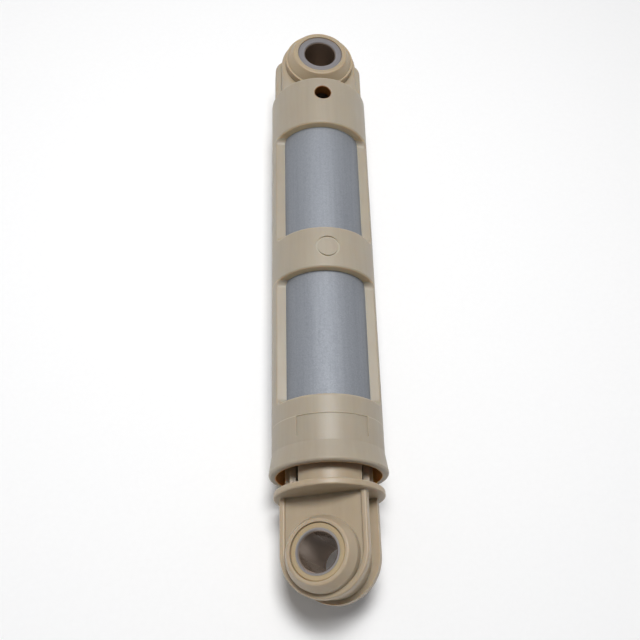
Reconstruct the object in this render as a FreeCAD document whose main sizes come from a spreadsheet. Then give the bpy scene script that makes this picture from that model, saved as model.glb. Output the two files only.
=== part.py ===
"""Friction damper for a washing machine's drum, lying on its side.

A moulded piston slides in a steel tube that is moulded into a windowed housing. A greased lining on
the piston's head rubs in the tube and damps the drum. Both ends have an eye with a sleeved pin bore.
The origin is at the middle of the housing's eye, +Z runs along that eye's bore, and the damper's long
axis runs from there along -Y to the piston's eye. Sizes are in millimetres and degrees.
"""

import FreeCAD
import Part
import Sketcher
import math
import os

doc = FreeCAD.newDocument("WasherDamper")

# Driving dimensions. A distance is measured along the long axis from the housing's eye.
SIZES = (
    ("twist_angle", 24.4, "turn of the piston about the long axis, as the damper lies"),
    ("bore_diameter", 10.4, "pin bore of both sleeves"),
    ("bore_chamfer", 0.4, "lead-in at both ends of a pin bore"),
    ("eye_width", 23.1, "both eyes, face to face along the pin"),
    ("sleeve_wall", 0.85, "steel sleeve"),
    ("sleeve_recess", 0.3, "sleeve ends below the eye's faces"),
    ("sleeve_collar_diameter", 15.0, "collar at one end of a sleeve"),
    ("sleeve_collar_thickness", 1.0, "collar at one end of a sleeve"),
    ("bush_diameter", 15.2, "plastic bush between a sleeve and its eye"),
    ("bush_recess", 0.4, "bush's plain end below the eye's face"),
    ("bush_chamfer", 0.4, "outer edge of the bush's plain end"),
    ("seat_clearance", 0.02, "radial room at pressed and moulded-in seats"),
    ("housing_diameter", 32.0, "round body"),
    ("housing_end", 14.9, "distance to the closed end of the round body"),
    ("housing_end_radius", 0.7, "rounding of the closed end"),
    ("end_wall", 2.4, "closed end of the round body"),
    ("housing_mouth", 147.1, "distance to the open end of the round body"),
    ("rim_diameter", 33.7, "flared rim of the mouth"),
    ("rim_radius", 0.8, "rounding of the rim's outer edge"),
    ("flare_length", 6.0, "stretch over which the mouth flares"),
    ("mouth_diameter", 29.8, "inside of the mouth at its rim"),
    ("mouth_depth", 9.0, "funnel inside the mouth"),
    ("window_distance", 33.9, "distance to the first window"),
    ("window_corner", 2.0, "rounding between a window's end and its rails"),
    ("window_edge_radius", 0.6, "rounding of the windows' outer edges"),
    ("band_width", 13.9, "between the two windows of a side"),
    ("mouth_band", 19.2, "last window to the mouth"),
    ("rail_height", 11.6, "rails beside the windows, top face to bottom face"),
    ("vent_diameter", 5.2, "vent hole"),
    ("vent_edge_radius", 0.35, "rounding of the vent hole's outer edge"),
    ("vent_distance", 21.3, "distance to the vent hole"),
    ("mark_diameter", 7.2, "plain moulded ring on the middle band"),
    ("mark_width", 0.5, "groove of the moulded ring"),
    ("mark_depth", 0.5, "groove of the moulded ring, at its middle"),
    ("panel_setback", 7.9, "mouth to the shallow panel"),
    ("panel_length", 5.7, "shallow panel along the axis"),
    ("panel_angle", 76.0, "shallow panel round the body"),
    ("panel_depth", 0.3, "shallow panel"),
    ("plate_inset", 3.1, "side of the round body to the side of the eye plate"),
    ("plate_edge_radius", 0.8, "rounding of the housing's eye plate"),
    ("plate_thickness", 11.6, "housing's eye plate"),
    ("shoulder_inset", 1.1, "side of the round body to the rails' ends beside the eye plate"),
    ("shoulder_thickness", 5.6, "rails' ends beside the eye plate"),
    ("shoulder_edge_radius", 0.6, "rounding of the edges of the rails' ends"),
    ("shoulder_reach", 4.5, "rails' ends past the middle of the eye"),
    ("shoulder_radius", 5.0, "rounding of the rails' ends"),
    ("face_radius", 0.6, "rounding of both eyes' faces"),
    ("boss_face_diameter", 18.2, "face of the housing's eye"),
    ("boss_cone_diameter", 22.0, "foot of the eye's cone"),
    ("boss_cone_height", 3.2, "eye's cone"),
    ("boss_drum_diameter", 23.2, "drum below the eye's cone"),
    ("tube_diameter", 26.6, "outside of the steel tube"),
    ("tube_wall", 0.8, "steel tube"),
    ("tube_distance", 27.5, "distance to the tube's inner end"),
    ("tube_cover", 5.6, "end of the tube to the funnel of the mouth"),
    ("running_clearance", 0.06, "radial room of the head and lining in the tube"),
    ("head_distance", 25.0, "distance to the piston's inner end, as the damper lies"),
    ("collar_thickness", 2.6, "collars each side of the lining"),
    ("lining_length", 26.0, "friction lining"),
    ("lining_thickness", 2.6, "friction lining"),
    ("lining_slit", 1.0, "butt joint of the lining strip"),
    ("lining_end_clearance", 0.3, "lining to each collar"),
    ("head_wall", 3.0, "head between its coring hole and the lining's groove"),
    ("core_depth", 29.0, "coring hole of the piston's head"),
    ("rod_turn", 20.4, "rod's flat web against the piston's eye plate"),
    ("rod_web", 2.4, "flat and upright webs of the rod, which cross"),
    ("fin_clearance", 0.3, "radial room of the rod's fins, caps and discs in the tube"),
    ("rib_inset", 1.3, "rod's fin tips to the outer faces of its ribs"),
    ("rod_rib_width", 1.7, "each rib along the flat web"),
    ("rod_rib_height", 9.6, "ribs, top to bottom"),
    ("cap_thickness", 2.2, "round caps along the upright web"),
    ("cap_angle", 90.0, "sector that each cap covers"),
    ("disc_count", 4, "stiffening discs along the rod"),
    ("disc_thickness", 1.6, "stiffening discs"),
    ("stop_gap", 4.3, "mouth to stop flange, as the damper lies"),
    ("flange_diameter", 31.0, "stop flange"),
    ("flange_thickness", 1.7, "stop flange"),
    ("flange_radius", 0.4, "rounding of the stop flange"),
    ("tail_reach", 18.0, "stop flange to the pin bore of the piston's eye"),
    ("tail_radius", 12.4, "round end of the piston's eye plate"),
    ("tail_offset", 1.2, "middle of that round end, inwards of the pin bore"),
    ("tail_thickness", 13.2, "piston's eye plate, top to bottom"),
    ("tail_flange", 2.4, "upper and lower flange of the piston's eye plate"),
    ("tail_groove", 3.0, "depth of the groove between those flanges"),
    ("tail_rim_width", 1.6, "raised rim of the piston's eye plate"),
    ("tail_rim_height", 0.8, "raised rim of the piston's eye plate"),
    ("tail_rim_radius", 0.5, "rounding of that raised rim"),
    ("tail_boss_face", 17.0, "face of the piston's eye"),
    ("tail_boss_base", 20.0, "drum of the piston's eye"),
    ("tail_cone_height", 2.8, "cone of the piston's eye, above its drum"),
)

sheet = doc.addObject("Spreadsheet::Sheet", "Sizes")
for row, (alias, value, note) in enumerate(SIZES, start=1):
    sheet.set("A%d" % row, note)
    sheet.set("B%d" % row, str(value))
    sheet.setAlias("B%d" % row, alias)
doc.recompute()

# Formulas that several pieces share.
HOUSING_R = "Sizes.housing_diameter / 2"
TUBE_R = "Sizes.tube_diameter / 2"
TUBE_BORE_R = "(Sizes.tube_diameter / 2 - Sizes.tube_wall)"
TUBE_SEAT_R = "(Sizes.tube_diameter / 2 + Sizes.seat_clearance)"
TUBE_END = "(Sizes.housing_mouth - Sizes.mouth_depth - Sizes.tube_cover)"
BORE_R = "Sizes.bore_diameter / 2"
SLEEVE_R = "(Sizes.bore_diameter / 2 + Sizes.sleeve_wall)"
BUSH_R = "Sizes.bush_diameter / 2"
EYE_BORE_R = "(Sizes.bush_diameter / 2 + Sizes.seat_clearance)"
FACE = "Sizes.eye_width / 2"
COLLAR_R = "(Sizes.tube_diameter / 2 - Sizes.tube_wall - Sizes.running_clearance)"
GROOVE_R = "(%s - Sizes.lining_thickness - Sizes.running_clearance)" % COLLAR_R
GROOVE_START = "(Sizes.head_distance + Sizes.collar_thickness)"
GROOVE_LENGTH = "(Sizes.lining_length + 2 * Sizes.lining_end_clearance)"
HEAD_END = "(%s + %s + Sizes.collar_thickness)" % (GROOVE_START, GROOVE_LENGTH)
WINDOW_SPAN = "(Sizes.housing_mouth - Sizes.mouth_band - Sizes.window_distance)"
WINDOW_LENGTH = "((%s - Sizes.band_width) / 2)" % WINDOW_SPAN
FLANGE_START = "(Sizes.housing_mouth + Sizes.stop_gap)"
FLANGE_END = "(%s + Sizes.flange_thickness)" % FLANGE_START
EYE_DISTANCE = "(%s + Sizes.tail_reach)" % FLANGE_START


def new_body(label):
    body = doc.addObject("PartDesign::Body", label)
    body.Label = label
    return body


def origin_part(body, role):
    return [part for part in body.Origin.OriginFeatures if part.Role == role][0]


def new_sketch(body, name, plane, offset=None, turn=None):
    """A sketch on one of the body's own planes, moved along that plane's normal by a formula and
    turned about its own upright axis by another."""
    sketch = body.newObject("Sketcher::SketchObject", name)
    sketch.AttachmentSupport = (origin_part(body, plane), [""])
    sketch.MapMode = "FlatFace"
    if offset is not None:
        sketch.setExpression("AttachmentOffset.Base.z", offset)
    if turn is not None:
        angle = float(sheet.evalExpression(turn))
        upright = FreeCAD.Rotation(FreeCAD.Vector(0, 1, 0), angle)
        sketch.AttachmentOffset = FreeCAD.Placement(FreeCAD.Vector(0, 0, 0), upright)
        sketch.setExpression("AttachmentOffset.Rotation.Angle", turn)
    doc.recompute()
    return sketch


def fix_point(sketch, geometry, end, x, y):
    """Ties a point to two formulas, measured from the sketch's origin."""
    for kind, axis, formula in (("DistanceX", -2, x), ("DistanceY", -1, y)):
        value = float(sketch.evalExpression(formula))
        if formula == "0":
            sketch.addConstraint(Sketcher.Constraint("PointOnObject", geometry, end, axis))
        else:
            index = sketch.addConstraint(Sketcher.Constraint(kind, -1, 1, geometry, end, value))
            sketch.setExpression("Constraints[%d]" % index, formula)


def draw_circle(sketch, x, y, radius):
    centre = FreeCAD.Vector(float(sketch.evalExpression(x)), float(sketch.evalExpression(y)), 0)
    size = float(sketch.evalExpression(radius))
    circle = sketch.addGeometry(Part.Circle(centre, FreeCAD.Vector(0, 0, 1), size), False)
    fix_point(sketch, circle, 3, x, y)
    index = sketch.addConstraint(Sketcher.Constraint("Radius", circle, size))
    sketch.setExpression("Constraints[%d]" % index, radius)


def draw_outline(sketch, corners):
    """Draws a closed outline. A corner is (x, y), or (x, y, radius) where the stretch to the next
    corner is an arc that turns left, or (x, y, radius, "right") where it turns right."""
    points = []
    for corner in corners:
        points.append(FreeCAD.Vector(*[float(sketch.evalExpression(formula)) for formula in corner[:2]], 0))
    ends = []
    for number, corner in enumerate(corners):
        here = points[number]
        there = points[(number + 1) % len(corners)]
        if len(corner) == 2:
            line = sketch.addGeometry(Part.LineSegment(here, there), False)
            ends.append((line, 1, 2))
            continue
        turns_right = corner[-1] == "right"
        first, last = (there, here) if turns_right else (here, there)
        radius = float(sketch.evalExpression(corner[2]))
        chord = last - first
        rise = math.sqrt(max(radius ** 2 - (chord.Length / 2) ** 2, 0))
        left = FreeCAD.Vector(-chord.y, chord.x, 0).normalize()
        centre = (first + last) * 0.5 + left * rise
        start = math.atan2(first.y - centre.y, first.x - centre.x)
        stop = math.atan2(last.y - centre.y, last.x - centre.x)
        circle = Part.Circle(centre, FreeCAD.Vector(0, 0, 1), radius)
        arc = sketch.addGeometry(Part.ArcOfCircle(circle, start, stop), False)
        index = sketch.addConstraint(Sketcher.Constraint("Radius", arc, radius))
        sketch.setExpression("Constraints[%d]" % index, corner[2])
        ends.append((arc, 2, 1) if turns_right else (arc, 1, 2))
    for number, (geometry, begin, finish) in enumerate(ends):
        following = ends[(number + 1) % len(ends)]
        sketch.addConstraint(Sketcher.Constraint("Coincident", geometry, finish, following[0], following[1]))
        fix_point(sketch, geometry, begin, corners[number][0], corners[number][1])


def draw_plate(sketch, radius, centre, end, way):
    """Draws a plate with one round end about centre and a square end. The round end points along
    +Y where way is 1 and along -Y where it is -1."""
    minus = "-(%s)" % radius
    if way > 0:
        tip = "%s + %s" % (centre, radius)
        corners = [(radius, end), (radius, centre, radius), ("0", tip, radius), (minus, centre), (minus, end)]
    else:
        tip = "%s - (%s)" % (centre, radius)
        corners = [(minus, end), (minus, centre, radius), ("0", tip, radius), (radius, centre), (radius, end)]
    draw_outline(sketch, corners)


def draw_rectangle(sketch, left, right, low, high):
    draw_outline(sketch, [(left, low), (right, low), (right, high), (left, high)])


def extrude(body, kind, sketch, name, length=None, side="Symmetric", upwards=False):
    """Pads or pockets a sketch. A pocket with no length goes right through."""
    before = body.Shape.Volume if kind == "Pocket" else None
    feature = body.newObject("PartDesign::" + kind, name)
    feature.Profile = sketch
    feature.SideType = side
    if length is None:
        feature.Type = "ThroughAll"
    else:
        feature.setExpression("Length", length)
    feature.Reversed = upwards
    doc.recompute()
    if before is not None and body.Shape.Volume >= before:
        raise ValueError("%s cuts nothing" % name)
    return feature


def revolve(body, kind, sketch, name, axis, angle="360"):
    """Turns a sketch about one of its own axes, evenly to both sides of its plane."""
    before = body.Shape.Volume if kind == "Groove" else None
    feature = body.newObject("PartDesign::" + kind, name)
    feature.Profile = sketch
    feature.ReferenceAxis = (sketch, [axis])
    feature.Midplane = True
    feature.setExpression("Angle", angle)
    doc.recompute()
    if before is not None and body.Shape.Volume >= before:
        raise ValueError("%s cuts nothing" % name)
    return feature


def round_edges(body, name, radius, wanted):
    """Rounds the edges of the body that a test picks, by their shape and place before the rounding."""
    names = []
    for number, edge in enumerate(body.Shape.Edges, start=1):
        if wanted(edge):
            names.append("Edge%d" % number)
    if not names:
        raise ValueError("%s finds no edge" % name)
    before = body.Tip
    feature = body.newObject("PartDesign::Fillet", name)
    feature.Base = (before, names)
    feature.setExpression("Radius", radius)
    doc.recompute()
    if not body.Shape.isValid():
        raise ValueError("%s did not build" % name)


def level(formula):
    return float(sheet.evalExpression(formula))


def round_at(edge, radius, height):
    """True for a circle of that radius that lies level at that height, above or below."""
    if not isinstance(edge.Curve, Part.Circle):
        return False
    box = edge.BoundBox
    flat = box.ZLength < 0.001 and abs(abs(box.ZMin) - level(height)) < 0.001
    return flat and abs(edge.Curve.Radius - level(radius)) < 0.001


def level_at(edge, height):
    """True for an edge that lies level at that height, above or below."""
    box = edge.BoundBox
    return box.ZLength < 0.001 and abs(abs(box.ZMin) - level(height)) < 0.001


def beyond(edge, distance):
    """True for an edge that lies on the eye's side of a distance along the axis."""
    box = edge.BoundBox
    return box.YMax > 0.001 - level(distance) and box.YMin > -0.001 - level(distance)


def on_round_body(edge):
    """True for an edge that lies on the outside of the round body and isn't part of its seam."""
    if isinstance(edge.Curve, Part.Line):
        points = [vertex.Point for vertex in edge.Vertexes]
    else:
        points = edge.discretize(7)
    return all(abs(math.hypot(point.x, point.z) - level(HOUSING_R)) < 0.005 for point in points)


def turn_with_piston(body, angle="Sizes.twist_angle", distance=None):
    """Places a piece of the piston's end, which lies twisted about the long axis."""
    turn = FreeCAD.Rotation(FreeCAD.Vector(0, -1, 0), float(sheet.evalExpression(angle)))
    body.Placement = FreeCAD.Placement(FreeCAD.Vector(0, 0, 0), turn)
    body.setExpression("Placement.Rotation.Angle", angle)
    if distance is not None:
        body.setExpression("Placement.Base.y", "-(%s)" % distance)


# Housing: one moulding. The round body is turned, and the eye, windows and small features follow.
housing = new_body("housing")

round_body = new_sketch(housing, "RoundBodySection", "XY_Plane")
draw_outline(round_body, [
    ("0", "-Sizes.housing_end - Sizes.end_wall"),
    (TUBE_BORE_R, "-Sizes.housing_end - Sizes.end_wall"),
    (TUBE_BORE_R, "-Sizes.tube_distance"),
    (TUBE_SEAT_R, "-Sizes.tube_distance"),
    (TUBE_SEAT_R, "-" + TUBE_END),
    (TUBE_BORE_R, "-" + TUBE_END),
    (TUBE_BORE_R, "-Sizes.housing_mouth + Sizes.mouth_depth"),
    ("Sizes.mouth_diameter / 2", "-Sizes.housing_mouth"),
    ("Sizes.rim_diameter / 2 - Sizes.rim_radius", "-Sizes.housing_mouth", "Sizes.rim_radius"),
    ("Sizes.rim_diameter / 2", "-Sizes.housing_mouth + Sizes.rim_radius"),
    (HOUSING_R, "-Sizes.housing_mouth + Sizes.flare_length"),
    (HOUSING_R, "-Sizes.housing_end - Sizes.housing_end_radius", "Sizes.housing_end_radius"),
    (HOUSING_R + " - Sizes.housing_end_radius", "-Sizes.housing_end"),
    ("0", "-Sizes.housing_end"),
])
revolve(housing, "Revolution", round_body, "RoundBody", "V_Axis")

eye_plate = new_sketch(housing, "EyePlateOutline", "XY_Plane")
PLATE_R = "(%s - Sizes.plate_inset)" % HOUSING_R
draw_plate(eye_plate, PLATE_R, "0", "-Sizes.housing_end - Sizes.end_wall / 2", 1)
extrude(housing, "Pad", eye_plate, "EyePlate", "Sizes.plate_thickness")
round_edges(housing, "EyePlateRounding", "Sizes.plate_edge_radius",
            lambda edge: level_at(edge, "Sizes.plate_thickness / 2") and beyond(edge, "Sizes.housing_end"))

shoulders = new_sketch(housing, "ShoulderOutline", "XY_Plane")
SHOULDER = "(%s - Sizes.shoulder_inset)" % HOUSING_R
draw_outline(shoulders, [
    ("-" + SHOULDER, "-Sizes.housing_end - Sizes.end_wall / 2"),
    (SHOULDER, "-Sizes.housing_end - Sizes.end_wall / 2"),
    (SHOULDER, "Sizes.shoulder_reach - Sizes.shoulder_radius", "Sizes.shoulder_radius"),
    (SHOULDER + " - Sizes.shoulder_radius", "Sizes.shoulder_reach"),
    ("-" + SHOULDER + " + Sizes.shoulder_radius", "Sizes.shoulder_reach", "Sizes.shoulder_radius"),
    ("-" + SHOULDER, "Sizes.shoulder_reach - Sizes.shoulder_radius"),
])
extrude(housing, "Pad", shoulders, "Shoulders", "Sizes.shoulder_thickness")


def at_shoulder(edge):
    """True for an edge along the outside of the rails' ends."""
    return abs(edge.CenterOfMass.x) > level(PLATE_R) and beyond(edge, "Sizes.housing_end")


round_edges(housing, "ShoulderRounding", "Sizes.shoulder_edge_radius",
            lambda edge: level_at(edge, "Sizes.shoulder_thickness / 2") and at_shoulder(edge))

boss = new_sketch(housing, "EyeBossSection", "XZ_Plane")
BOSS_FACE_R = "Sizes.boss_face_diameter / 2"
BOSS_CONE_R = "Sizes.boss_cone_diameter / 2"
BOSS_DRUM_R = "Sizes.boss_drum_diameter / 2"
CONE_FOOT = "(Sizes.eye_width / 2 - Sizes.boss_cone_height)"
draw_outline(boss, [
    ("0", "-" + FACE),
    (BOSS_FACE_R, "-" + FACE),
    (BOSS_CONE_R, "-" + CONE_FOOT),
    (BOSS_DRUM_R, "-" + CONE_FOOT),
    (BOSS_DRUM_R, CONE_FOOT),
    (BOSS_CONE_R, CONE_FOOT),
    (BOSS_FACE_R, FACE),
    ("0", FACE),
])
revolve(housing, "Revolution", boss, "EyeBoss", "V_Axis")
round_edges(housing, "EyeFaceRounding", "Sizes.face_radius", lambda edge: round_at(edge, BOSS_FACE_R, FACE))

eye_bore = new_sketch(housing, "EyeBoreCircle", "XY_Plane")
draw_circle(eye_bore, "0", "0", EYE_BORE_R)
extrude(housing, "Pocket", eye_bore, "EyeBore")

# Windows through to the tube, two above and two below, with rounded corners on the flat rails.
windows = new_sketch(housing, "WindowOutlines", "YZ_Plane")
RAIL = "Sizes.rail_height / 2"
FIRST_END = "(Sizes.window_distance + %s)" % WINDOW_LENGTH
ABOVE = "Sizes.housing_diameter"
for start in ("Sizes.window_distance", "(%s + Sizes.band_width)" % FIRST_END):
    near = "-" + start
    far = "-(%s + %s)" % (start, WINDOW_LENGTH)
    draw_outline(windows, [
        (far, ABOVE),
        (far, RAIL + " + Sizes.window_corner", "Sizes.window_corner"),
        (far + " + Sizes.window_corner", RAIL),
        (near + " - Sizes.window_corner", RAIL, "Sizes.window_corner"),
        (near, RAIL + " + Sizes.window_corner"),
        (near, ABOVE),
    ])
    draw_outline(windows, [
        (near, "-" + ABOVE),
        (near, "-" + RAIL + " - Sizes.window_corner", "Sizes.window_corner"),
        (near + " - Sizes.window_corner", "-" + RAIL),
        (far + " + Sizes.window_corner", "-" + RAIL, "Sizes.window_corner"),
        (far, "-" + RAIL + " - Sizes.window_corner"),
        (far, "-" + ABOVE),
    ])
extrude(housing, "Pocket", windows, "Windows")


def at_window(edge):
    """True for an outer edge of a window."""
    box = edge.BoundBox
    inside = box.YMin > -level("Sizes.housing_mouth - Sizes.mouth_band") - 0.001
    return inside and box.YMax < 0.001 - level("Sizes.window_distance") and on_round_body(edge)


round_edges(housing, "WindowRounding", "Sizes.window_edge_radius", at_window)

vent = new_sketch(housing, "VentCircle", "XY_Plane")
draw_circle(vent, "0", "-Sizes.vent_distance", "Sizes.vent_diameter / 2")
extrude(housing, "Pocket", vent, "Vent", side="One side", upwards=True)


def at_vent(edge):
    """True for the outer edge of the vent hole."""
    away = edge.CenterOfMass.y + level("Sizes.vent_distance")
    return on_round_body(edge) and abs(away) < level("Sizes.vent_diameter") / 2


round_edges(housing, "VentRounding", "Sizes.vent_edge_radius", at_vent)

mark = new_sketch(housing, "MarkRing", "XY_Plane", HOUSING_R + " - Sizes.mark_depth")
MARK_DISTANCE = "-(%s + Sizes.band_width / 2)" % FIRST_END
draw_circle(mark, "0", MARK_DISTANCE, "Sizes.mark_diameter / 2")
draw_circle(mark, "0", MARK_DISTANCE, "Sizes.mark_diameter / 2 - Sizes.mark_width")
extrude(housing, "Pocket", mark, "Mark", side="One side", upwards=True)

panel = new_sketch(housing, "PanelSection", "YZ_Plane")
PANEL_NEAR = "(-Sizes.housing_mouth + Sizes.panel_setback)"
draw_rectangle(panel, PANEL_NEAR, PANEL_NEAR + " + Sizes.panel_length",
               HOUSING_R + " - Sizes.panel_depth", ABOVE)
revolve(housing, "Groove", panel, "Panel", "H_Axis", "Sizes.panel_angle")

# Steel tube, moulded into the housing: the windows show it.
liner_tube = new_body("liner_tube")
tube_ring = new_sketch(liner_tube, "TubeSection", "XY_Plane")
draw_rectangle(tube_ring, TUBE_BORE_R, TUBE_R, "-" + TUBE_END, "-Sizes.tube_distance")
revolve(liner_tube, "Revolution", tube_ring, "Tube", "V_Axis")


def add_bush(label):
    """Plastic bush, modelled about an eye's middle with its plain end down and the collar's seat up."""
    body = new_body(label)
    section = new_sketch(body, label + "_section", "XZ_Plane")
    low = "-(%s - Sizes.bush_recess)" % FACE
    high = "(%s - Sizes.sleeve_recess - Sizes.sleeve_collar_thickness)" % FACE
    inner = SLEEVE_R + " + Sizes.seat_clearance"
    draw_outline(section, [
        (inner, low),
        (BUSH_R + " - Sizes.bush_chamfer", low),
        (BUSH_R, low + " + Sizes.bush_chamfer"),
        (BUSH_R, high),
        (inner, high),
    ])
    revolve(body, "Revolution", section, label + "_ring", "V_Axis")
    return body


def add_sleeve(label):
    """Steel sleeve, modelled about an eye's middle with its thin end down and its collar up."""
    body = new_body(label)
    section = new_sketch(body, label + "_section", "XZ_Plane")
    end = "(%s - Sizes.sleeve_recess)" % FACE
    under_collar = "(%s - Sizes.sleeve_collar_thickness)" % end
    draw_outline(section, [
        (BORE_R, "-%s + Sizes.bore_chamfer" % end),
        (BORE_R + " + Sizes.bore_chamfer", "-" + end),
        (SLEEVE_R, "-" + end),
        (SLEEVE_R, under_collar),
        ("Sizes.sleeve_collar_diameter / 2", under_collar),
        ("Sizes.sleeve_collar_diameter / 2", end),
        (BORE_R + " + Sizes.bore_chamfer", end),
        (BORE_R, "%s - Sizes.bore_chamfer" % end),
    ])
    revolve(body, "Revolution", section, label + "_ring", "V_Axis")
    return body


upper_eye_bush = add_bush("upper_eye_bush")
upper_eye_sleeve = add_sleeve("upper_eye_sleeve")

# Piston: one moulding, with a cored head, a ribbed rod, a stop flange and the lower eye.
piston_rod = new_body("piston_rod")

web = new_sketch(piston_rod, "WebOutline", "XY_Plane", turn="Sizes.rod_turn")
FIN = "(%s - Sizes.fin_clearance)" % TUBE_BORE_R
draw_rectangle(web, "-" + FIN, FIN, "-%s - Sizes.flange_thickness / 2" % FLANGE_START,
               "-%s + Sizes.collar_thickness / 2" % HEAD_END)
extrude(piston_rod, "Pad", web, "Web", "Sizes.rod_web")

ribs = new_sketch(piston_rod, "RibOutlines", "XY_Plane", turn="Sizes.rod_turn")
RIB_OUT = "(%s - Sizes.rib_inset)" % FIN
RIB_IN = "(%s - Sizes.rod_rib_width)" % RIB_OUT
for left, right in (("-" + RIB_OUT, "-" + RIB_IN), (RIB_IN, RIB_OUT)):
    draw_rectangle(ribs, left, right, "-%s - Sizes.flange_thickness / 2" % FLANGE_START,
                   "-%s + Sizes.collar_thickness / 2" % HEAD_END)
extrude(piston_rod, "Pad", ribs, "Ribs", "Sizes.rod_rib_height")

spine = new_sketch(piston_rod, "SpineOutline", "XY_Plane", turn="Sizes.rod_turn + 90")
SPINE_TIP = "(%s - Sizes.cap_thickness / 2)" % FIN
draw_rectangle(spine, "-" + SPINE_TIP, SPINE_TIP, "-%s - Sizes.flange_thickness / 2" % FLANGE_START,
               "-%s + Sizes.collar_thickness / 2" % HEAD_END)
extrude(piston_rod, "Pad", spine, "Spine", "Sizes.rod_web")

caps = new_sketch(piston_rod, "CapSections", "XY_Plane", turn="Sizes.rod_turn + 90")
CAP_IN = "(%s - Sizes.cap_thickness)" % FIN
for left, right in (("-" + FIN, "-" + CAP_IN), (CAP_IN, FIN)):
    draw_rectangle(caps, left, right, "-%s - Sizes.flange_thickness / 2" % FLANGE_START,
                   "-%s + Sizes.collar_thickness / 2" % HEAD_END)
revolve(piston_rod, "Revolution", caps, "Caps", "V_Axis", "Sizes.cap_angle")

head = new_sketch(piston_rod, "HeadSection", "XY_Plane")
CORE_R = "(%s - Sizes.head_wall)" % GROOVE_R
GROOVE_END = "(%s + %s)" % (GROOVE_START, GROOVE_LENGTH)
draw_outline(head, [
    ("0", "-" + HEAD_END),
    (COLLAR_R, "-" + HEAD_END),
    (COLLAR_R, "-" + GROOVE_END),
    (GROOVE_R, "-" + GROOVE_END),
    (GROOVE_R, "-" + GROOVE_START),
    (COLLAR_R, "-" + GROOVE_START),
    (COLLAR_R, "-Sizes.head_distance"),
    (CORE_R, "-Sizes.head_distance"),
    (CORE_R, "-Sizes.head_distance - Sizes.core_depth"),
    ("0", "-Sizes.head_distance - Sizes.core_depth"),
])
revolve(piston_rod, "Revolution", head, "Head", "V_Axis")

disc = new_sketch(piston_rod, "DiscSection", "XY_Plane")
DISC_PITCH = "((%s - %s) / (Sizes.disc_count + 1))" % (FLANGE_START, HEAD_END)
draw_rectangle(disc, "0", FIN, "-%s - %s - Sizes.disc_thickness / 2" % (HEAD_END, DISC_PITCH),
               "-%s - %s + Sizes.disc_thickness / 2" % (HEAD_END, DISC_PITCH))
first_disc = revolve(piston_rod, "Revolution", disc, "FirstDisc", "V_Axis")
discs = piston_rod.newObject("PartDesign::LinearPattern", "Discs")
discs.Originals = [first_disc]
discs.Direction = (origin_part(piston_rod, "Y_Axis"), [""])
discs.Reversed = True
discs.setExpression("Length", "%s * (Sizes.disc_count - 1)" % DISC_PITCH)
discs.setExpression("Occurrences", "Sizes.disc_count")
piston_rod.Tip = discs
doc.recompute()

flange = new_sketch(piston_rod, "FlangeSection", "XY_Plane")
FLANGE_R = "Sizes.flange_diameter / 2"
FLANGE_FLAT_R = FLANGE_R + " - Sizes.flange_radius"
draw_outline(flange, [
    ("0", "-" + FLANGE_END),
    (FLANGE_FLAT_R, "-" + FLANGE_END, "Sizes.flange_radius"),
    (FLANGE_R, "-%s + Sizes.flange_radius" % FLANGE_END),
    (FLANGE_R, "-%s - Sizes.flange_radius" % FLANGE_START, "Sizes.flange_radius"),
    (FLANGE_FLAT_R, "-" + FLANGE_START),
    ("0", "-" + FLANGE_START),
])
revolve(piston_rod, "Revolution", flange, "StopFlange", "V_Axis")

# The piston's eye plate: a core with an upper and a lower flange, each with a raised rim.
tail_core = new_sketch(piston_rod, "TailCoreOutline", "XY_Plane")
TAIL_END = "-%s + Sizes.flange_thickness / 2" % FLANGE_END
TAIL_MIDDLE = "(Sizes.tail_offset - %s)" % EYE_DISTANCE
draw_plate(tail_core, "(Sizes.tail_radius - Sizes.tail_groove)", TAIL_MIDDLE, TAIL_END, -1)
extrude(piston_rod, "Pad", tail_core, "TailCore", "Sizes.tail_thickness - 2 * Sizes.tail_rim_height")

tail_flange = new_sketch(piston_rod, "TailFlangeOutline", "XY_Plane",
                         "Sizes.tail_thickness / 2 - Sizes.tail_flange")
draw_plate(tail_flange, "Sizes.tail_radius", TAIL_MIDDLE, TAIL_END, -1)
upper_flange = extrude(piston_rod, "Pad", tail_flange, "TailFlange", "Sizes.tail_flange", side="One side")

tail_dish = new_sketch(piston_rod, "TailDishOutline", "XY_Plane", "Sizes.tail_thickness / 2")
draw_plate(tail_dish, "(Sizes.tail_radius - Sizes.tail_rim_width)", TAIL_MIDDLE, "-" + FLANGE_END, -1)
upper_dish = extrude(piston_rod, "Pocket", tail_dish, "TailDish", "Sizes.tail_rim_height", side="One side")

lower_side = piston_rod.newObject("PartDesign::Mirrored", "TailLowerSide")
lower_side.Originals = [upper_flange, upper_dish]
lower_side.MirrorPlane = (origin_part(piston_rod, "XY_Plane"), [""])
piston_rod.Tip = lower_side
doc.recompute()
round_edges(piston_rod, "TailRimRounding", "Sizes.tail_rim_radius",
            lambda edge: level_at(edge, "Sizes.tail_thickness / 2"))

tail_boss = new_sketch(piston_rod, "TailBossSection", "XZ_Plane", EYE_DISTANCE)
TAIL_FACE_R = "Sizes.tail_boss_face / 2"
TAIL_BASE_R = "Sizes.tail_boss_base / 2"
TAIL_FOOT = "(Sizes.eye_width / 2 - Sizes.tail_cone_height)"
draw_outline(tail_boss, [
    ("0", "-" + FACE),
    (TAIL_FACE_R, "-" + FACE),
    (TAIL_BASE_R, "-" + TAIL_FOOT),
    (TAIL_BASE_R, TAIL_FOOT),
    (TAIL_FACE_R, FACE),
    ("0", FACE),
])
revolve(piston_rod, "Revolution", tail_boss, "TailBoss", "V_Axis")
round_edges(piston_rod, "TailFaceRounding", "Sizes.face_radius", lambda edge: round_at(edge, TAIL_FACE_R, FACE))

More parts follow.
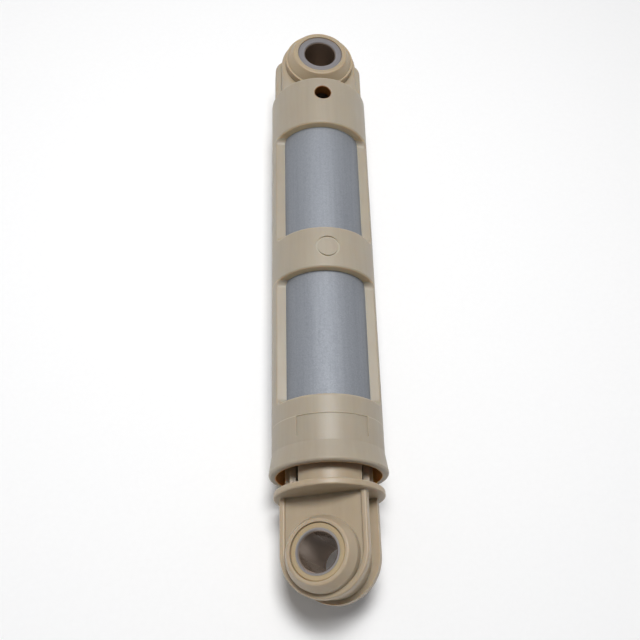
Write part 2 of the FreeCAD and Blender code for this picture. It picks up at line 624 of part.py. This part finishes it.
tail_bore = new_sketch(piston_rod, "TailBoreCircle", "XY_Plane")
draw_circle(tail_bore, "0", "-" + EYE_DISTANCE, EYE_BORE_R)
extrude(piston_rod, "Pocket", tail_bore, "TailBore")
turn_with_piston(piston_rod)

# Friction lining: a strip wrapped round the head, with its butt joint underneath.
friction_lining = new_body("friction_lining")
lining = new_sketch(friction_lining, "LiningSection", "XY_Plane")
LINING_START = "(%s + Sizes.lining_end_clearance)" % GROOVE_START
LINING_IN = "(%s + Sizes.running_clearance)" % GROOVE_R
draw_rectangle(lining, LINING_IN, COLLAR_R, "-%s - Sizes.lining_length" % LINING_START, "-" + LINING_START)
revolve(friction_lining, "Revolution", lining, "Lining", "V_Axis")
slit = new_sketch(friction_lining, "SlitOutline", "XY_Plane")
draw_rectangle(slit, "-Sizes.lining_slit / 2", "Sizes.lining_slit / 2",
               "-%s - Sizes.lining_length" % LINING_START, "-" + LINING_START)
extrude(friction_lining, "Pocket", slit, "Slit", side="One side")
turn_with_piston(friction_lining)

# The lower eye has the same bush and sleeve, pushed in from the other side.
FROM_BELOW = "Sizes.twist_angle + 180"
lower_eye_bush = add_bush("lower_eye_bush")
turn_with_piston(lower_eye_bush, FROM_BELOW, EYE_DISTANCE)
lower_eye_sleeve = add_sleeve("lower_eye_sleeve")
turn_with_piston(lower_eye_sleeve, FROM_BELOW, EYE_DISTANCE)

doc.recompute()
for item in doc.Objects:
    if "Invalid" in item.State or "Error" in item.State:
        raise ValueError("%s did not build" % item.Name)

NODES = (housing, liner_tube, upper_eye_bush, upper_eye_sleeve, piston_rod, friction_lining,
         lower_eye_bush, lower_eye_sleeve)
os.makedirs("parts", exist_ok=True)
for node in NODES:
    if node.Shape.isNull() or not node.Shape.isValid() or len(node.Shape.Solids) != 1:
        raise ValueError("%s is not one sound solid" % node.Label)
for node in NODES:
    node.Shape.exportStep("parts/%s.step" % node.Label)
    print("%s %.1f mm3" % (node.Label, node.Shape.Volume))
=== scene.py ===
"""Friction damper for a washing machine's drum, lying on a pale studio floor."""

import math

import bmesh
import bpy
from mathutils import Matrix, Vector


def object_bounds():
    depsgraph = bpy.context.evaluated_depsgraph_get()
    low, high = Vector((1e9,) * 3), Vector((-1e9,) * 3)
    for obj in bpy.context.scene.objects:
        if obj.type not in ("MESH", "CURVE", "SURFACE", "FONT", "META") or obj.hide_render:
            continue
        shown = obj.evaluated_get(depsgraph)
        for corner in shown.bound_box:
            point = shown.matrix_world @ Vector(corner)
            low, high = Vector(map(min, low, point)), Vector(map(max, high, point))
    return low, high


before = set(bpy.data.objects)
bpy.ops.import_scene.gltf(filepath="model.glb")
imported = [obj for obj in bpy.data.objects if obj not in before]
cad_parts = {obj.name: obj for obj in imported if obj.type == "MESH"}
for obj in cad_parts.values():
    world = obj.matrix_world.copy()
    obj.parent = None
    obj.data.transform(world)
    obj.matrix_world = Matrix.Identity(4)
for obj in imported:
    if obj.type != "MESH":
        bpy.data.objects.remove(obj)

cad_box = [list(corner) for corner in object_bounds()]


# Camera. It stands beyond the piston's eye, looks down on the damper that lies pointing at it, and is
# turned a little to the left, so that the round body tapers away towards the housing's eye.
MM = 0.001
LENS_PIXELS = 850.0
IMAGE_PIXELS = 640.0
camera_data = bpy.data.cameras.new("studio_camera")
camera_data.sensor_width = 36.0
camera_data.lens = camera_data.sensor_width * LENS_PIXELS / IMAGE_PIXELS
camera_data.clip_start = 0.01
studio_camera = bpy.data.objects.new("studio_camera", camera_data)
tilt = Matrix.Rotation(0.47194, 4, "X")
swing = Matrix.Rotation(-0.09130, 4, "Y")
roll = Matrix.Rotation(0.01983, 4, "Z")
stand = Matrix.Translation(Vector((-25.011, -215.203, 230.406)) * MM)
studio_camera.matrix_world = stand @ tilt @ swing @ roll
bpy.context.collection.objects.link(studio_camera)
bpy.context.scene.camera = studio_camera


# Floor: a wide sheet of white paper with a faint tooth, which the damper's lowest rim touches.
# It takes the soft shadow and throws light back up under the round body.
def linear(code):
    """An sRGB hex colour as the linear values that a shader takes."""
    parts = [int(code[i:i + 2], 16) / 255 for i in (1, 3, 5)]
    return [p / 12.92 if p <= 0.04045 else ((p + 0.055) / 1.055) ** 2.4 for p in parts] + [1.0]


def add_node(tree, kind, inputs=None, **settings):
    """Adds a node. An input is set to a value, or linked where it is given another node's output."""
    made = tree.nodes.new(kind)
    for name, value in settings.items():
        setattr(made, name, value)
    for name, value in (inputs or {}).items():
        if isinstance(value, bpy.types.NodeSocket):
            tree.links.new(value, made.inputs[name])
        else:
            made.inputs[name].default_value = value
    return made


def new_material(name):
    """An empty material, with its tree and the point that a pattern is placed by."""
    made = bpy.data.materials.new(name)
    made.use_nodes = True
    made.node_tree.nodes.clear()
    place = add_node(made.node_tree, "ShaderNodeTexCoord").outputs["Object"]
    return made, made.node_tree, place


FLOOR_HALF = 2.5
floor_mesh = bmesh.new()
bmesh.ops.create_grid(floor_mesh, x_segments=1, y_segments=1, size=FLOOR_HALF)
bmesh.ops.translate(floor_mesh, vec=(0, 0, cad_box[0][2]), verts=floor_mesh.verts)
floor_data = bpy.data.meshes.new("paper_floor")
floor_mesh.to_mesh(floor_data)
floor_mesh.free()
paper_floor = bpy.data.objects.new("paper_floor", floor_data)
bpy.context.collection.objects.link(paper_floor)
# The paper is bleached and uncoated, so it is matt and very slightly mottled. Its tooth is drawn
# coarser than real paper's, to show. A Mix node's inputs 0, 6 and 7 are its share and two colours.
paper, tree, place = new_material("white_backdrop_paper")
TOOTH_MM = 1.5
tooth = add_node(tree, "ShaderNodeTexNoise", {
    "Vector": place, "Scale": 1 / (TOOTH_MM * MM), "Detail": 3.0})
mixed = add_node(tree, "ShaderNodeMix", {
    0: tooth.outputs["Fac"], 6: linear("#F7F7F7"), 7: linear("#FBFBFB")}, data_type="RGBA")
shader = add_node(tree, "ShaderNodeBsdfPrincipled", {
    "Base Color": mixed.outputs[2], "Roughness": 0.9, "Specular IOR Level": 0.2})
add_node(tree, "ShaderNodeOutputMaterial", {"Surface": shader.outputs["BSDF"]})
floor_data.materials.append(paper)


# Light: a white room with pale walls, brightest at the back, an even light from the ceiling and one
# softbox hung low over the damper. The only dark shadow lies beyond the piston's eye.
scene = bpy.context.scene
scene.view_settings.view_transform = "Standard"
room = bpy.data.worlds.new("white_room")
room.use_nodes = True
room.node_tree.nodes.clear()
BRIGHT_WAY = (-0.4, 0.92, 0)
FRONT_LEVEL = 0.13
BACK_LEVEL = 0.33
WALL_LEVEL = 0.50
WALL_FADES_FROM = 0.05
WALL_FADES_TO = 0.22
aim = add_node(room.node_tree, "ShaderNodeTexCoord").outputs["Generated"]
height = add_node(room.node_tree, "ShaderNodeSeparateXYZ", {"Vector": aim}).outputs["Z"]
bright_side = add_node(room.node_tree, "ShaderNodeVectorMath", {
    0: aim, 1: BRIGHT_WAY}, operation="DOT_PRODUCT")
level = add_node(room.node_tree, "ShaderNodeMapRange", {
    "Value": bright_side.outputs["Value"], "From Min": -1.0, "From Max": 1.0,
    "To Min": FRONT_LEVEL, "To Max": BACK_LEVEL})
walls = add_node(room.node_tree, "ShaderNodeMapRange", {
    "Value": height, "From Min": WALL_FADES_FROM, "From Max": WALL_FADES_TO,
    "To Min": WALL_LEVEL, "To Max": 0.0})
both = add_node(room.node_tree, "ShaderNodeMath", {
    0: level.outputs["Result"], 1: walls.outputs["Result"]}, operation="ADD")
glow = add_node(room.node_tree, "ShaderNodeBackground", {
    "Color": linear("#F8F8FA"), "Strength": both.outputs["Value"]})
add_node(room.node_tree, "ShaderNodeOutputWorld", {"Surface": glow.outputs["Background"]})
scene.world = room
even_light = bpy.data.lights.new("even_ceiling", "SUN")
even_light.energy = 1.20
even_light.angle = math.radians(18)
even_ceiling = bpy.data.objects.new("even_ceiling", even_light)
even_ceiling.rotation_euler = Vector((0.02, -0.21, -1)).to_track_quat("-Z", "Y").to_euler()
bpy.context.collection.objects.link(even_ceiling)
softbox = bpy.data.lights.new("overhead_softbox", "AREA")
softbox.shape = "RECTANGLE"
softbox.size = 0.14
softbox.size_y = 0.10
softbox.energy = 0.86
overhead_softbox = bpy.data.objects.new("overhead_softbox", softbox)
overhead_softbox.location = (-0.02, -0.05, 0.40)
bpy.context.collection.objects.link(overhead_softbox)


# Housing: a moulding of beige polypropylene with the eye, the two windows of each side and the
# flared mouth in one piece. Its skin is satin, with faint flow streaks along the round body. Its colour
# holds painted light: painted brown shade and glow in the vent, a painted warm glow in the mouth and
# round the eye.
def moulded_plastic(name, colour, streak, roughness):
    """Satin moulded plastic. Slow clouds and streaks along the flow vary its colour, a fine
    spark-eroded grain breaks up its shine, and light spreads a little way under the skin.
    The real grain is about 0.05 mm; it is drawn coarser, to show."""
    made, tree, place = new_material(name)
    CLOUD_MM = 26.0
    CLOUD_SHARE = 0.6
    STREAK_MM = 1.6
    STREAK_SHARE = 0.4
    STREAK_STRETCH = (1.0, 0.06, 1.0)
    GRAIN_MM = 0.35
    GLOW_MM = 2.0
    clouds = add_node(tree, "ShaderNodeTexNoise", {
        "Vector": place, "Scale": 1 / (CLOUD_MM * MM), "Detail": 3.0, "Roughness": 0.55})
    along = add_node(tree, "ShaderNodeMapping", {"Vector": place, "Scale": STREAK_STRETCH})
    flow = add_node(tree, "ShaderNodeTexNoise", {
        "Vector": along.outputs["Vector"], "Scale": 1 / (STREAK_MM * MM),
        "Detail": 4.0, "Roughness": 0.6})
    shade = add_node(tree, "ShaderNodeMath", {
        0: clouds.outputs["Fac"], 1: CLOUD_SHARE}, operation="MULTIPLY")
    both = add_node(tree, "ShaderNodeMath", {
        0: flow.outputs["Fac"], 1: STREAK_SHARE, 2: shade.outputs["Value"]}, operation="MULTIPLY_ADD")
    tone = add_node(tree, "ShaderNodeMapRange", {
        "Value": both.outputs["Value"], "From Min": 0.35, "From Max": 0.65})
    mixed = add_node(tree, "ShaderNodeMix", {
        0: tone.outputs["Result"], 6: linear(streak), 7: linear(colour)}, data_type="RGBA")
    grain = add_node(tree, "ShaderNodeTexNoise", {
        "Vector": place, "Scale": 1 / (GRAIN_MM * MM), "Detail": 2.0})
    shine = add_node(tree, "ShaderNodeMapRange", {
        "Value": grain.outputs["Fac"], "To Min": roughness - 0.07, "To Max": roughness + 0.07})
    bump = add_node(tree, "ShaderNodeBump", {
        "Strength": 0.12, "Distance": 0.03 * MM, "Height": grain.outputs["Fac"]})
    shader = add_node(tree, "ShaderNodeBsdfPrincipled", {
        "Base Color": mixed.outputs[2], "Roughness": shine.outputs["Result"], "IOR": 1.49,
        "Normal": bump.outputs["Normal"], "Subsurface Weight": 0.6,
        "Subsurface Radius": (1.0, 0.62, 0.34), "Subsurface Scale": GLOW_MM * MM})
    add_node(tree, "ShaderNodeOutputMaterial", {"Surface": shader.outputs["BSDF"]})
    return made


def tint_round(finish, middle, across, near, far, colour, hole=-1.0):
    """Mixes a colour into a finish round a point: all of it within one distance and none beyond
    another, or in a hole. Each axis counts by its own share, so the region may be long or flat."""
    tree = finish.node_tree
    place = add_node(tree, "ShaderNodeTexCoord").outputs["Object"]
    moved = add_node(tree, "ShaderNodeVectorMath", {
        0: place, 1: Vector(middle) * MM}, operation="SUBTRACT")
    flat = add_node(tree, "ShaderNodeVectorMath", {
        0: moved.outputs["Vector"], 1: across}, operation="MULTIPLY")
    out = add_node(tree, "ShaderNodeVectorMath", {0: flat.outputs["Vector"]}, operation="LENGTH")
    amount = add_node(tree, "ShaderNodeMapRange", {
        "Value": out.outputs["Value"], "From Min": near * MM, "From Max": far * MM,
        "To Min": 1.0, "To Max": 0.0})
    beyond = add_node(tree, "ShaderNodeMath", {
        0: out.outputs["Value"], 1: hole * MM}, operation="GREATER_THAN")
    share = add_node(tree, "ShaderNodeMath", {
        0: amount.outputs["Result"], 1: beyond.outputs["Value"]}, operation="MULTIPLY")
    shader = tree.nodes["Principled BSDF"]
    under = shader.inputs["Base Color"].links[0].from_socket
    mixed = add_node(tree, "ShaderNodeMix", {
        0: share.outputs["Value"], 6: under, 7: linear(colour)}, data_type="RGBA")
    tree.links.new(mixed.outputs[2], shader.inputs["Base Color"])


def dress(node_name, finish):
    """Gives a solid of the frame its finish."""
    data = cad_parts[node_name].data
    data.materials.clear()
    data.materials.append(finish)


beige_polypropylene = moulded_plastic("beige_polypropylene", "#A79D8C", "#9F9483", 0.46)
EYE_MIDDLE = (0, 0, 0)
VENT_MIDDLE = (0, -21.3, 0)
MOUTH_MIDDLE = (0, -144, 0)
WINDOW_ENDS = ((0, -33.9, 0), (0, -87.85, 0))
PANEL_END = (0, -133.5, 0)
RING_MIDDLE = (0, -80.9, 16)
RING_INNER = 3.06
ROUND_BORE = (1, 1, 0)
ROUND_MOUTH = (1, 0.6, 1)
ALONG_BODY = (0, 1, 0)
ON_TOP = (1, 1, 0.2)
# Painted warm glow round the eye and in its crevices, standing in for light coming through the plastic.
tint_round(beige_polypropylene, EYE_MIDDLE, ROUND_BORE, 11.6, 14.0, "#A9987E")
# Painted shade and brown glow on the walls of the vent hole.
tint_round(beige_polypropylene, VENT_MIDDLE, ROUND_BORE, 2.6, 3.0, "#82531F")
# Painted warm glow inside the mouth, standing in for light through its thin wall.
tint_round(beige_polypropylene, MOUTH_MIDDLE, ROUND_MOUTH, 15.1, 15.4, "#C69150")
# Painted light: the shaded end walls of the windows and the fine grooves of the panel at the mouth
# and of the ring on the middle band are painted lighter, standing in for light under the skin.
for window_end in WINDOW_ENDS:
    tint_round(beige_polypropylene, window_end, ALONG_BODY, 0.04, 0.2, "#C0AC8A")
tint_round(beige_polypropylene, PANEL_END, ALONG_BODY, 0.04, 0.1, "#BEB5A1")
tint_round(beige_polypropylene, RING_MIDDLE, ON_TOP, 3.62, 3.66, "#AFA693", RING_INNER)
dress("housing", beige_polypropylene)


# Liner tube: thin welded steel tube, galvanised and moulded into the housing. The zinc is a matt
# blue grey with a fine sparkle of crystals and faint marks where it was drawn.
def zinc_finish(name, colour, dark, roughness):
    """Matt zinc on steel: fine crystals that differ a little in tone and shine, and faint lines
    along the tube. Real crystals are under 0.1 mm; they are drawn coarser, to show."""
    made, tree, place = new_material(name)
    CRYSTAL_MM = 0.3
    CRYSTAL_SHARE = 0.5
    DRAW_MM = 0.9
    DRAW_STRETCH = (1.0, 0.03, 1.0)
    crystals = add_node(tree, "ShaderNodeTexVoronoi", {"Vector": place, "Scale": 1 / (CRYSTAL_MM * MM)})
    spark = add_node(tree, "ShaderNodeSeparateColor", {"Color": crystals.outputs["Color"]})
    along = add_node(tree, "ShaderNodeMapping", {"Vector": place, "Scale": DRAW_STRETCH})
    drawn = add_node(tree, "ShaderNodeTexNoise", {
        "Vector": along.outputs["Vector"], "Scale": 1 / (DRAW_MM * MM), "Detail": 3.0})
    tone = add_node(tree, "ShaderNodeMath", {
        0: spark.outputs["Red"], 1: CRYSTAL_SHARE, 2: drawn.outputs["Fac"]}, operation="MULTIPLY_ADD")
    tone_range = add_node(tree, "ShaderNodeMapRange", {
        "Value": tone.outputs["Value"], "From Min": 0.4, "From Max": 1.1})
    mixed = add_node(tree, "ShaderNodeMix", {
        0: tone_range.outputs["Result"], 6: linear(dark), 7: linear(colour)}, data_type="RGBA")
    shine = add_node(tree, "ShaderNodeMapRange", {
        "Value": spark.outputs["Green"], "To Min": roughness - 0.06, "To Max": roughness + 0.06})
    bump = add_node(tree, "ShaderNodeBump", {
        "Strength": 0.04, "Distance": 0.02 * MM, "Height": spark.outputs["Blue"]})
    shader = add_node(tree, "ShaderNodeBsdfPrincipled", {
        "Base Color": mixed.outputs[2], "Metallic": 0.65, "Roughness": shine.outputs["Result"],
        "Normal": bump.outputs["Normal"]})
    add_node(tree, "ShaderNodeOutputMaterial", {"Surface": shader.outputs["BSDF"]})
    return made


galvanised_steel = zinc_finish("galvanised_steel", "#9B9FA5", "#91959C", 0.70)
dress("liner_tube", galvanised_steel)


# Eye sleeves: steel sleeves turned with a collar at one end, pressed into both eyes from opposite
# sides. The bright metal has fine rings round the bore, which is a smooth, darker brown inside.
def turned_metal(name, colour, dark, roughness, middle, lean):
    """Bright steel off a lathe: rings about the bore's axis, which leans about the long axis, vary
    its tone and its shine. They are drawn coarser than real tool marks, to show. Inside the bore the
    steel is a smooth, darker brown and half as metallic."""
    made, tree, place = new_material(name)
    RING_MM = 0.7
    BORE_MM = 5.25
    EDGE_MM = 0.3
    BORE_COLOUR = "#958271"
    BORE_METALLIC = 0.5
    BORE_ROUGHNESS = 0.22
    own = add_node(tree, "ShaderNodeMapping", {
        "Vector": place, "Location": Vector(middle) * MM,
        "Rotation": (0, lean, 0)}, vector_type="TEXTURE")
    flat = add_node(tree, "ShaderNodeVectorMath", {
        0: own.outputs["Vector"], 1: ROUND_BORE}, operation="MULTIPLY")
    out = add_node(tree, "ShaderNodeVectorMath", {0: flat.outputs["Vector"]}, operation="LENGTH")
    depth = add_node(tree, "ShaderNodeSeparateXYZ", {"Vector": own.outputs["Vector"]}).outputs["Z"]
    path = add_node(tree, "ShaderNodeMath", {0: out.outputs["Value"], 1: depth}, operation="ADD")
    rings = add_node(tree, "ShaderNodeTexNoise", {
        "W": path.outputs["Value"], "Scale": 1 / (RING_MM * MM), "Detail": 3.0}, noise_dimensions="1D")
    bright = add_node(tree, "ShaderNodeMix", {
        0: rings.outputs["Fac"], 6: linear(dark), 7: linear(colour)}, data_type="RGBA")
    inside = add_node(tree, "ShaderNodeMapRange", {
        "Value": out.outputs["Value"], "From Min": BORE_MM * MM, "From Max": (BORE_MM + EDGE_MM) * MM,
        "To Min": 1.0, "To Max": 0.0})
    mixed = add_node(tree, "ShaderNodeMix", {
        0: inside.outputs["Result"], 6: bright.outputs[2], 7: linear(BORE_COLOUR)}, data_type="RGBA")
    metalness = add_node(tree, "ShaderNodeMapRange", {
        "Value": inside.outputs["Result"], "To Min": 1.0, "To Max": BORE_METALLIC})
    turned = add_node(tree, "ShaderNodeMapRange", {
        "Value": rings.outputs["Fac"], "To Min": roughness - 0.06, "To Max": roughness + 0.06})
    shine = add_node(tree, "ShaderNodeMix", {
        0: inside.outputs["Result"], 2: turned.outputs["Result"], 3: BORE_ROUGHNESS})
    bump = add_node(tree, "ShaderNodeBump", {
        "Strength": 0.15, "Distance": 0.02 * MM, "Height": rings.outputs["Fac"]})
    shader = add_node(tree, "ShaderNodeBsdfPrincipled", {
        "Base Color": mixed.outputs[2], "Metallic": metalness.outputs["Result"],
        "Roughness": shine.outputs[0], "Normal": bump.outputs["Normal"]})
    add_node(tree, "ShaderNodeOutputMaterial", {"Surface": shader.outputs["BSDF"]})
    return made


LOWER_EYE = (0, -169.4, 0)
LOWER_LEAN = math.radians(-24.4)
# One steel in two tones: the upper sleeve is painted darker as painted shade, the lower lighter as
# painted light.
upper_steel_painted_shade = turned_metal("turned_steel_upper_painted_shade", "#B9B5B7", "#A9A5A7", 0.34, EYE_MIDDLE, 0.0)
lower_steel_painted_light = turned_metal("turned_steel_lower_painted_light", "#C9C3C2", "#B7B1B0", 0.34, LOWER_EYE, LOWER_LEAN)
dress("upper_eye_sleeve", upper_steel_painted_shade)
dress("lower_eye_sleeve", lower_steel_painted_light)


# Eye bushes: bushes of tan acetal between each sleeve and its eye, pressed in, a little yellower
# and smoother than the mouldings round them.
tan_acetal = moulded_plastic("tan_acetal", "#B29E7E", "#A99575", 0.38)
dress("upper_eye_bush", tan_acetal)
dress("lower_eye_bush", tan_acetal)


# Piston: one moulding of a warmer beige plastic, with the ribbed rod, the stop flange and the eye.
# It runs inside the tube on its lining and can slide and turn there.
warm_polypropylene = moulded_plastic("warm_beige_polypropylene", "#AE9F88", "#A6967F", 0.44)
dress("piston_rod", warm_polypropylene)


# Friction lining: a strip of greased brown felt wrapped round the piston's head, inside the tube.
# The soaked fibres are dark and a little glossy; they are drawn coarser than real ones, to show.
greased_felt, tree, place = new_material("greased_felt")
FIBRE_MM = 0.5
fibres = add_node(tree, "ShaderNodeTexNoise", {
    "Vector": place, "Scale": 1 / (FIBRE_MM * MM), "Detail": 5.0, "Roughness": 0.7})
mixed = add_node(tree, "ShaderNodeMix", {
    0: fibres.outputs["Fac"], 6: linear("#3A2E1E"), 7: linear("#5E4C34")}, data_type="RGBA")
bump = add_node(tree, "ShaderNodeBump", {
    "Strength": 0.5, "Distance": 0.2 * MM, "Height": fibres.outputs["Fac"]})
shader = add_node(tree, "ShaderNodeBsdfPrincipled", {
    "Base Color": mixed.outputs[2], "Roughness": 0.55, "Normal": bump.outputs["Normal"]})
add_node(tree, "ShaderNodeOutputMaterial", {"Surface": shader.outputs["BSDF"]})
dress("friction_lining", greased_felt)
